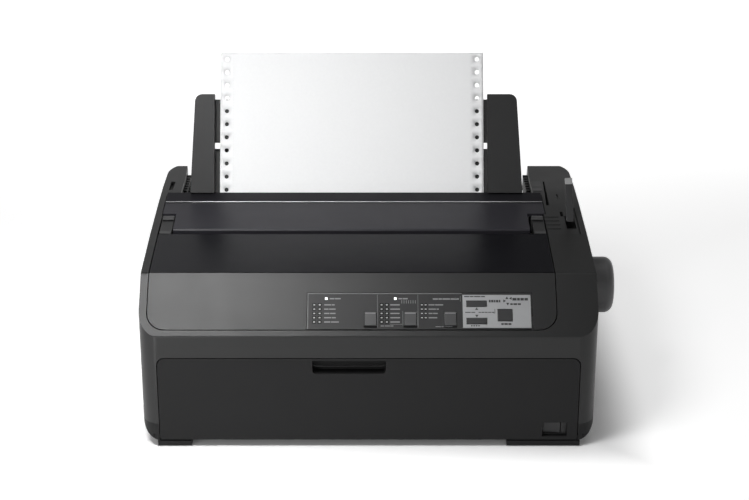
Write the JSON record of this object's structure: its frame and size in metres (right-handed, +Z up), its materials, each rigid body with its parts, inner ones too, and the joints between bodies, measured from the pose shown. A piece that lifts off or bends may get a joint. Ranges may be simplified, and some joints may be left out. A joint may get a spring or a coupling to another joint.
{
  "type": "dot matrix printer",
  "caption": "Desktop dot matrix printer with hinged window cover, front cover, sloped control panel, platen knob, rear paper guide and a loaded fanfold page.",
  "frame": {"origin": "centre of the overall box on the table plane", "axes": "+Z up, the front with the panel faces -Y, +X points to the side with the platen knob"},
  "size_m": [0.4264, 0.322, 0.2842],
  "materials": {
    "case_plastic": "fine moulded texture",
    "cover_plastic": "fine moulded texture",
    "smoked_window": "smoked clear, polished",
    "bar_plastic": "satin",
    "panel_plastic": "satin",
    "panel_silver": "printed film, satin silver",
    "circuit_board": "solder resist",
    "button_plastic": "satin",
    "switch_plastic": "semi-gloss",
    "roller_plastic": "satin",
    "platen_rubber": "ground rubber",
    "shaft_steel": "ground",
    "gear_nylon": "satin",
    "knob_plastic": "satin",
    "motor_steel": "zinc plated",
    "pinion_brass": "machined",
    "tractor_plastic": "satin",
    "lever_plastic": "satin",
    "carriage_plastic": "satin",
    "head_aluminium": "anodised black fins",
    "belt_rubber": "ribbed",
    "cartridge_plastic": "fine moulded texture",
    "ribbon_fabric": "inked weave",
    "frame_steel": "zinc plated sheet",
    "supply_parts": "components",
    "guide_plastic": "fine moulded texture",
    "lever_grey": "satin",
    "port_metal": "plated shell",
    "feet_rubber": "soft",
    "screw_steel": "zinc plated",
    "paper": "fanfold paper with sprocket holes"
  },
  "bodies": {
    "printer_body": {"lower_case": "case_plastic", "upper_case": "case_plastic", "exit_lip": "bar_plastic", "control_panel": "panel_plastic", "panel_label": "panel_silver", "panel_board": "circuit_board", "power_switch": "switch_plastic", "feed_motor": "motor_steel", "guide_shafts": "shaft_steel", "carriage_motor": "motor_steel", "carriage_belt": "belt_rubber", "ribbon_cartridge": "cartridge_plastic", "ribbon": "ribbon_fabric", "left_frame": "frame_steel", "right_frame": "frame_steel", "chassis": "frame_steel", "main_board": "circuit_board", "power_supply": "supply_parts", "ac_inlet": "switch_plastic", "parallel_port": "port_metal", "rubber_feet": "feet_rubber", "screws": "screw_steel", "paper_sheet": "paper"},
    "front_cover": {"front_cover": "case_plastic"},
    "printer_cover": {"printer_cover": "cover_plastic", "cover_window": "smoked_window"},
    "button_left": {"button_left": "button_plastic"},
    "button_middle": {"button_middle": "button_plastic"},
    "button_right": {"button_right": "button_plastic"},
    "button_upper_bar": {"button_upper_bar": "button_plastic"},
    "button_lower_bar": {"button_lower_bar": "button_plastic"},
    "button_square": {"button_square": "button_plastic"},
    "power_rocker": {"power_rocker": "switch_plastic"},
    "tension_unit": {"tension_unit": "bar_plastic"},
    "tension_rollers": {"tension_rollers": "roller_plastic"},
    "platen": {"platen_roller": "platen_rubber", "platen_shaft": "shaft_steel", "platen_gear": "gear_nylon", "platen_knob": "knob_plastic"},
    "feed_pinion": {"feed_pinion": "pinion_brass"},
    "idler_gear_front": {"idler_gear_front": "gear_nylon"},
    "idler_gear_rear": {"idler_gear_rear": "gear_nylon"},
    "tractor_drive": {"tractor_shaft": "shaft_steel", "tractor_gear": "gear_nylon"},
    "left_tractor": {"left_tractor": "tractor_plastic"},
    "right_tractor": {"right_tractor": "tractor_plastic"},
    "left_tractor_flap": {"left_tractor_flap": "tractor_plastic"},
    "right_tractor_flap": {"right_tractor_flap": "tractor_plastic"},
    "left_tractor_lock": {"left_tractor_lock": "lever_plastic"},
    "right_tractor_lock": {"right_tractor_lock": "lever_plastic"},
    "print_carriage": {"carriage": "carriage_plastic", "print_head": "head_aluminium"},
    "motor_pulley": {"motor_pulley": "gear_nylon"},
    "end_pulley": {"end_pulley": "gear_nylon"},
    "ribbon_knob": {"ribbon_knob": "lever_plastic"},
    "paper_guide": {"paper_guide": "guide_plastic"},
    "left_edge_guide": {"left_edge_guide": "guide_plastic"},
    "right_edge_guide": {"right_edge_guide": "guide_plastic"},
    "release_lever": {"release_lever": "lever_grey"},
    "thickness_lever": {"thickness_lever": "lever_plastic"}
  },
  "joints": [
    {"name": "cover_hinge", "type": "hinge", "parent": "printer_body", "child": "printer_cover", "pos_m": [-0.01325, -0.003, 0.151], "axis": [-1, 0, 0], "range_deg": [0, 70]},
    {"name": "front_cover_hinge", "type": "hinge", "parent": "printer_body", "child": "front_cover", "pos_m": [-0.01325, -0.158, 0.0102], "axis": [1, 0, 0], "range_deg": [0, 85]},
    {"name": "tension_unit_lift", "type": "slide", "parent": "printer_body", "child": "tension_unit", "axis": [0, 0, -1], "range_m": [-0.06, 0]},
    {"name": "tension_roller_spin", "type": "hinge", "parent": "tension_unit", "child": "tension_rollers", "pos_m": [-0.01325, 0.017, 0.14188], "axis": [1, 0, 0], "continuous": true},
    {"name": "platen_spin", "type": "hinge", "parent": "printer_body", "child": "platen", "pos_m": [-0.01325, -0.031, 0.101], "axis": [1, 0, 0], "continuous": true},
    {"name": "feed_pinion_spin", "type": "hinge", "parent": "printer_body", "child": "feed_pinion", "pos_m": [-0.01325, 0.01233, 0.06336], "axis": [1, 0, 0], "continuous": true},
    {"name": "idler_front_spin", "type": "hinge", "parent": "printer_body", "child": "idler_gear_front", "pos_m": [-0.01325, 0.01233, 0.09336], "axis": [1, 0, 0], "continuous": true},
    {"name": "idler_rear_spin", "type": "hinge", "parent": "printer_body", "child": "idler_gear_rear", "pos_m": [-0.01325, 0.06618, 0.09739], "axis": [1, 0, 0], "continuous": true},
    {"name": "tractor_spin", "type": "hinge", "parent": "printer_body", "child": "tractor_drive", "pos_m": [-0.01325, 0.114, 0.112], "axis": [1, 0, 0], "continuous": true},
    {"name": "left_tractor_slide", "type": "slide", "parent": "printer_body", "child": "left_tractor", "axis": [1, 0, 0], "range_m": [-0.01, 0.08]},
    {"name": "right_tractor_slide", "type": "slide", "parent": "printer_body", "child": "right_tractor", "axis": [1, 0, 0], "range_m": [-0.08, 0.01]},
    {"name": "left_flap_hinge", "type": "hinge", "parent": "left_tractor", "child": "left_tractor_flap", "pos_m": [-0.16, 0.114, 0.129], "axis": [0, 1, 0], "range_deg": [-100, 0]},
    {"name": "right_flap_hinge", "type": "hinge", "parent": "right_tractor", "child": "right_tractor_flap", "pos_m": [0.1013, 0.114, 0.129], "axis": [0, -1, 0], "range_deg": [-100, 0]},
    {"name": "left_lock_hinge", "type": "hinge", "parent": "left_tractor", "child": "left_tractor_lock", "pos_m": [-0.15, 0.128, 0.116], "axis": [1, 0, 0], "range_deg": [0, 40]},
    {"name": "right_lock_hinge", "type": "hinge", "parent": "right_tractor", "child": "right_tractor_lock", "pos_m": [0.0913, 0.128, 0.116], "axis": [1, 0, 0], "range_deg": [0, 40]},
    {"name": "carriage_slide", "type": "slide", "parent": "printer_body", "child": "print_carriage", "axis": [1, 0, 0], "range_m": [-0.104, 0.104]},
    {"name": "motor_pulley_spin", "type": "hinge", "parent": "printer_body", "child": "motor_pulley", "pos_m": [0.11175, -0.101, 0.061], "axis": [0, 0, 1], "range_deg": [-760, 760]},
    {"name": "end_pulley_spin", "type": "hinge", "parent": "printer_body", "child": "end_pulley", "pos_m": [-0.17325, -0.101, 0.061], "axis": [0, 0, 1], "range_deg": [-760, 760]},
    {"name": "ribbon_knob_spin", "type": "hinge", "parent": "printer_body", "child": "ribbon_knob", "pos_m": [-0.15325, -0.111, 0.114], "axis": [0, 0, 1], "continuous": true},
    {"name": "paper_guide_tilt", "type": "hinge", "parent": "printer_body", "child": "paper_guide", "pos_m": [-0.01325, 0.067, 0.15], "axis": [-1, 0, 0], "range_deg": [0, 55]},
    {"name": "left_edge_slide", "type": "slide", "parent": "paper_guide", "child": "left_edge_guide", "axis": [1, 0, 0], "range_m": [-0.005, 0.004]},
    {"name": "right_edge_slide", "type": "slide", "parent": "paper_guide", "child": "right_edge_guide", "axis": [1, 0, 0], "range_m": [-0.002, 0.006]},
    {"name": "release_lever_hinge", "type": "hinge", "parent": "printer_body", "child": "release_lever", "pos_m": [0.17415, -0.025, 0.138], "axis": [1, 0, 0], "range_deg": [0, 22]},
    {"name": "thickness_lever_hinge", "type": "hinge", "parent": "printer_body", "child": "thickness_lever", "pos_m": [-0.18525, -0.083, 0.078], "axis": [1, 0, 0], "range_deg": [-4, 14]},
    {"name": "power_rocker_hinge", "type": "hinge", "parent": "printer_body", "child": "power_rocker", "pos_m": [0.1487, -0.1541, 0.0172], "axis": [0, 0, 1], "range_deg": [0, 9]},
    {"name": "button_left_press", "type": "slide", "parent": "printer_body", "child": "button_left", "axis": [0, 0.6987, -0.7154], "range_m": [0, 0.001], "stiffness_N_per_m": 250, "springref_m": -0.0006},
    {"name": "button_middle_press", "type": "slide", "parent": "printer_body", "child": "button_middle", "axis": [0, 0.6987, -0.7154], "range_m": [0, 0.001], "stiffness_N_per_m": 250, "springref_m": -0.0006},
    {"name": "button_right_press", "type": "slide", "parent": "printer_body", "child": "button_right", "axis": [0, 0.6987, -0.7154], "range_m": [0, 0.001], "stiffness_N_per_m": 250, "springref_m": -0.0006},
    {"name": "button_upper_bar_press", "type": "slide", "parent": "printer_body", "child": "button_upper_bar", "axis": [0, 0.6987, -0.7154], "range_m": [0, 0.001], "stiffness_N_per_m": 250, "springref_m": -0.0006},
    {"name": "button_lower_bar_press", "type": "slide", "parent": "printer_body", "child": "button_lower_bar", "axis": [0, 0.6987, -0.7154], "range_m": [0, 0.001], "stiffness_N_per_m": 250, "springref_m": -0.0006},
    {"name": "button_square_press", "type": "slide", "parent": "printer_body", "child": "button_square", "axis": [0, 0.6987, -0.7154], "range_m": [0, 0.001], "stiffness_N_per_m": 250, "springref_m": -0.0006}
  ],
  "couplings": [
    {"joint": "idler_front_spin", "follows": "platen_spin", "ratio": -0.83333},
    {"joint": "idler_rear_spin", "follows": "platen_spin", "ratio": 0.66667},
    {"joint": "tractor_spin", "follows": "platen_spin", "ratio": -1},
    {"joint": "feed_pinion_spin", "follows": "platen_spin", "ratio": 3.3333},
    {"joint": "motor_pulley_spin", "follows": "carriage_slide", "rad_per_m": -125},
    {"joint": "end_pulley_spin", "follows": "carriage_slide", "rad_per_m": -125}
  ]
}
